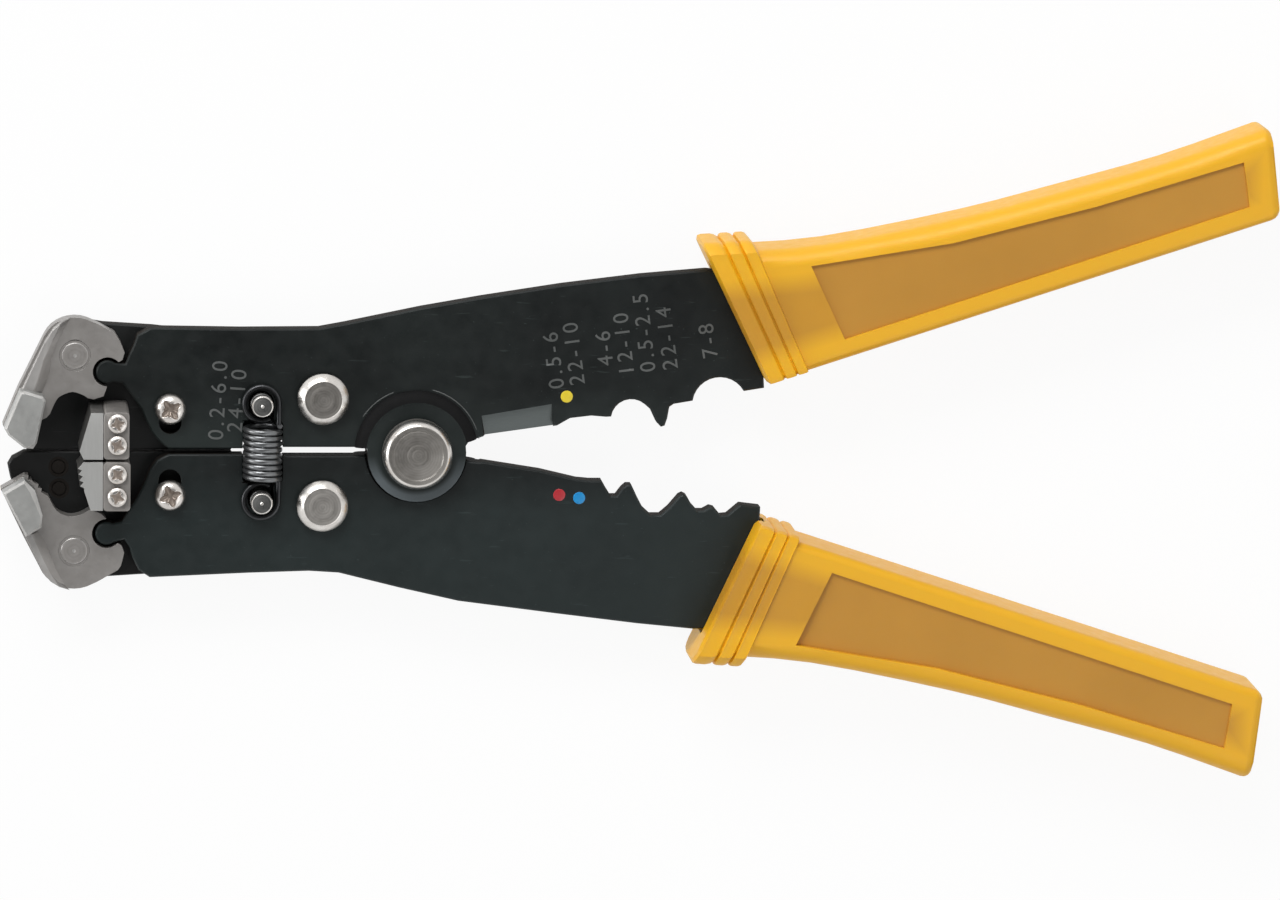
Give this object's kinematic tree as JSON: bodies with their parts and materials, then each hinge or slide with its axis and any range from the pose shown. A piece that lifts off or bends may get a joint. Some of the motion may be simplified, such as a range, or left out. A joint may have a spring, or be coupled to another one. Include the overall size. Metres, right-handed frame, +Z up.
{
  "type": "automatic wire stripper",
  "caption": "Plier-type automatic wire stripper with swinging clamp jaws, stripping blades, tension spring, crimp dies, wire cutter and moulded grips.",
  "frame": {"origin": "on the main pivot's axis, at the flat rear face of the pivot that the tool lies on", "axes": "+X from the jaws to the grips, +Y from the lower arm to the upper arm, +Z up, through the thickness"},
  "size_m": [0.2038, 0.1044, 0.0161],
  "materials": {
    "black_steel": "satin black",
    "jaw_steel": "matt grey plated",
    "bright_steel": "bright turned",
    "spring_steel": "dark oiled",
    "grip_plastic": "semi-gloss moulded"
  },
  "bodies": {
    "lower_arm": {"lower_arm": "black_steel", "lower_grip": "grip_plastic", "main_pivot": "bright_steel", "lower_carrier_rivet": "bright_steel"},
    "upper_arm": {"upper_arm": "black_steel", "upper_grip": "grip_plastic", "upper_carrier_rivet": "bright_steel"},
    "upper_carrier": {"upper_carrier": "black_steel", "upper_jaw_pin": "jaw_steel", "upper_blade_holder": "jaw_steel", "upper_blade": "jaw_steel", "upper_blade_screw_1": "bright_steel", "upper_blade_screw_2": "bright_steel", "upper_guide_screw": "bright_steel", "upper_spring_post": "bright_steel"},
    "lower_carrier": {"lower_carrier": "black_steel", "lower_jaw_pin": "jaw_steel", "lower_blade_holder": "jaw_steel", "lower_blade": "jaw_steel", "lower_blade_screw_1": "bright_steel", "lower_blade_screw_2": "bright_steel", "lower_guide_screw": "bright_steel", "lower_spring_post": "bright_steel", "stop_rivet_1": "black_steel", "stop_rivet_2": "black_steel", "tension_spring": "spring_steel"},
    "upper_jaw": {"upper_jaw": "jaw_steel"},
    "lower_jaw": {"lower_jaw": "jaw_steel"}
  },
  "joints": [
    {"name": "handle_squeeze", "type": "hinge", "parent": "lower_arm", "child": "upper_arm", "pos_m": [0, 0, 0], "axis": [0, 0, 1], "range_deg": [-19, 0], "stiffness_Nm_per_rad": 0.5, "springref_deg": 17.19, "deforming": ["tension_spring"]},
    {"name": "upper_carrier_swing", "type": "hinge", "parent": "upper_arm", "child": "upper_carrier", "pos_m": [-0.015, 0.0086, 0], "axis": [0, 0, 1], "range_deg": [0, 3.95]},
    {"name": "lower_carrier_swing", "type": "hinge", "parent": "lower_arm", "child": "lower_carrier", "pos_m": [-0.015, -0.0086, 0], "axis": [0, 0, 1], "range_deg": [-3.95, 0]},
    {"name": "upper_jaw_swing", "type": "hinge", "parent": "upper_carrier", "child": "upper_jaw", "pos_m": [-0.0545, 0.0154, 0], "axis": [0, 0, 1], "range_deg": [0, 24.05]},
    {"name": "lower_jaw_swing", "type": "hinge", "parent": "lower_carrier", "child": "lower_jaw", "pos_m": [-0.0545, -0.016, 0], "axis": [0, 0, 1], "range_deg": [-24.05, 0]}
  ],
  "couplings": [
    {"joint": "upper_carrier_swing", "follows": "handle_squeeze", "ratio": -0.205},
    {"joint": "lower_carrier_swing", "follows": "handle_squeeze", "ratio": 0.205},
    {"joint": "upper_jaw_swing", "follows": "handle_squeeze", "ratio": -1.263},
    {"joint": "lower_jaw_swing", "follows": "handle_squeeze", "ratio": 1.263}
  ]
}
